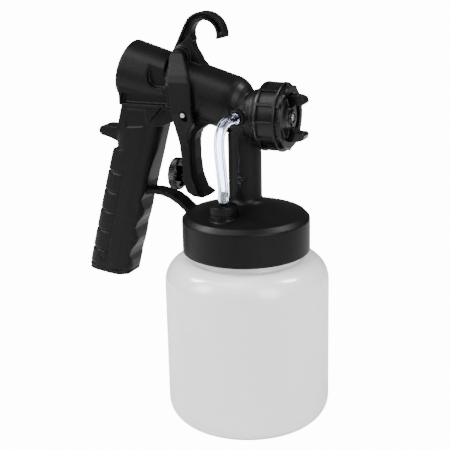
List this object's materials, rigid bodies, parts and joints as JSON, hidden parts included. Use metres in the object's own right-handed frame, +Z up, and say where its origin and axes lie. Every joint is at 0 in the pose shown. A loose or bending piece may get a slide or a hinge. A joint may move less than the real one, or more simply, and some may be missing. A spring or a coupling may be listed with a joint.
{
  "type": "hvlp spray gun",
  "caption": "Turbine-fed paint spray gun with a screw-on container under its head, a hooked barrel, a pistol handle and a trigger that draws the needle.",
  "frame": {"origin": "centre of the flat underside of the container, which is where the gun stands", "axes": "+Z up along the container's axis, +X horizontally towards the nozzle, -Y the side that carries the clear hose"},
  "size_m": [0.1654, 0.106, 0.266],
  "materials": {
    "body_plastic": "satin moulded black",
    "trigger_plastic": "fine spark texture, black",
    "ring_plastic": "satin moulded black",
    "cap_plastic": "smooth moulded black",
    "knob_plastic": "smooth moulded black",
    "valve_plastic": "moulded black",
    "insert_plastic": "moulded dark grey",
    "filter_plastic": "moulded black",
    "tube_plastic": "natural polyethylene",
    "natural_plastic": "natural blow-moulded polyethylene, slightly translucent",
    "clear_hose": "clear soft PVC",
    "needle_steel": "turned stainless steel",
    "nozzle_steel": "turned stainless steel",
    "spring_wire": "drawn spring wire",
    "brass": "turned brass",
    "seal": "white seal",
    "rubber": "soft pale rubber",
    "gasket": "white foam polyethylene"
  },
  "bodies": {
    "gun": {"gun_body": "body_plastic", "hook": "body_plastic", "handle": "body_plastic", "strut": "body_plastic", "post": "body_plastic", "lid": "body_plastic", "fluid_insert": "insert_plastic", "needle_packing": "seal", "packing_nut": "brass", "nozzle_seal": "seal", "fluid_nozzle": "nozzle_steel", "head_barb": "body_plastic", "valve_seat": "valve_plastic", "valve_cap": "valve_plastic", "vent_hose": "clear_hose", "pickup_tube": "tube_plastic", "pickup_filter": "filter_plastic"},
    "trigger": {"trigger": "trigger_plastic", "flow_nut": "brass", "knob_spring": "spring_wire"},
    "needle": {"needle": "needle_steel", "needle_carrier": "brass", "needle_cross_pin": "needle_steel", "needle_spring": "spring_wire"},
    "ring_nut": {"ring_nut": "ring_plastic"},
    "air_cap": {"air_cap": "cap_plastic"},
    "flow_screw": {"flow_screw": "needle_steel"},
    "flow_knob": {"flow_knob": "knob_plastic"},
    "valve_disc": {"valve_disc": "rubber"},
    "gasket": {"container_gasket": "gasket"},
    "container": {"container": "natural_plastic"}
  },
  "joints": [
    {"name": "trigger_pull", "type": "hinge", "parent": "gun", "child": "trigger", "pos_m": [-0.0403, 0, 0.238], "axis": [0, 1, 0], "range_deg": [0, 7], "stiffness_Nm_per_rad": 1.2, "springref_deg": -17.19},
    {"name": "needle_draw", "type": "slide", "parent": "gun", "child": "needle", "axis": [-1, 0, 0], "range_m": [0, 0.0043], "deforming": ["needle_spring"]},
    {"name": "flow_screw_travel", "type": "slide", "parent": "trigger", "child": "flow_screw", "axis": [1, 0, 0], "range_m": [-0.0015, 0.0015], "deforming": ["knob_spring"]},
    {"name": "flow_knob_turn", "type": "hinge", "parent": "flow_screw", "child": "flow_knob", "pos_m": [-0.048, 0, 0.161], "axis": [1, 0, 0], "range_deg": [-558, 558]},
    {"name": "ring_nut_turn", "type": "hinge", "parent": "gun", "child": "ring_nut", "pos_m": [0.02, 0, 0.203], "axis": [1, 0, 0], "range_deg": [0, 90]},
    {"name": "air_cap_turn", "type": "hinge", "parent": "gun", "child": "air_cap", "pos_m": [0.028, 0, 0.203], "axis": [1, 0, 0], "range_deg": [-90, 90]},
    {"name": "valve_disc_lift", "type": "slide", "parent": "gun", "child": "valve_disc", "axis": [0, 0, 1], "range_m": [0, 0.0006]},
    {"name": "gasket_rise", "type": "slide", "parent": "container", "child": "gasket", "axis": [0, 0, 1], "range_m": [0, 0.0153]},
    {"name": "container_unscrew", "type": "hinge", "parent": "gasket", "child": "gun", "pos_m": [0, 0, 0.12], "axis": [0, 0, 1], "range_deg": [0, 1080]}
  ],
  "couplings": [
    {"joint": "needle_draw", "follows": "trigger_pull", "m_per_rad": 0.034},
    {"joint": "flow_knob_turn", "follows": "flow_screw_travel", "rad_per_m": 6283.2},
    {"joint": "gasket_rise", "follows": "container_unscrew", "m_per_rad": 0.00079577}
  ]
}
